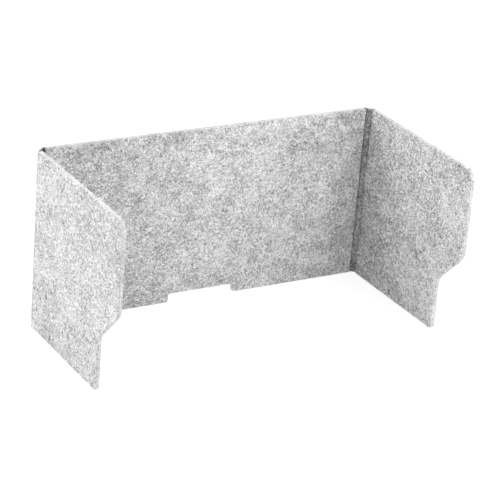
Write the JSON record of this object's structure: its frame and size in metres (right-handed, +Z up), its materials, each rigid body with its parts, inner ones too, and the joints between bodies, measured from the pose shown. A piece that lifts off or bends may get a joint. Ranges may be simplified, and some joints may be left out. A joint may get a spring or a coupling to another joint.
{
  "type": "acoustic desk divider screen",
  "caption": "Free-standing felt desk screen: a back panel with a cable notch and stepped side wings that fold on soft felt webs.",
  "frame": {"origin": "on the desk, at the middle of the screen's width and depth", "axes": "+X along the back panel, to the right of a person seated between the wings; +Y to the back panel; +Z up"},
  "size_m": [1.024, 0.511, 0.5],
  "materials": {
    "felt_board": "pressed felt board, light grey mottle",
    "felt_facing": "pressed felt sheet, light grey mottle"
  },
  "bodies": {
    "back": {"back_board": "felt_board", "back_facing": "felt_facing", "left_fold_web": "felt_facing", "right_fold_web": "felt_facing"},
    "left_wing": {"left_wing_board": "felt_board", "left_wing_facing": "felt_facing"},
    "right_wing": {"right_wing_board": "felt_board", "right_wing_facing": "felt_facing"}
  },
  "joints": [
    {"name": "left_fold", "type": "hinge", "parent": "back", "child": "left_wing", "pos_m": [-0.49925, 0.24275, 0.25], "axis": [0, 0, 1], "range_deg": [-90, 90], "deforming": ["left_fold_web"]},
    {"name": "right_fold", "type": "hinge", "parent": "back", "child": "right_wing", "pos_m": [0.49925, 0.24275, 0.25], "axis": [0, 0, -1], "range_deg": [-90, 90], "deforming": ["right_fold_web"]}
  ]
}
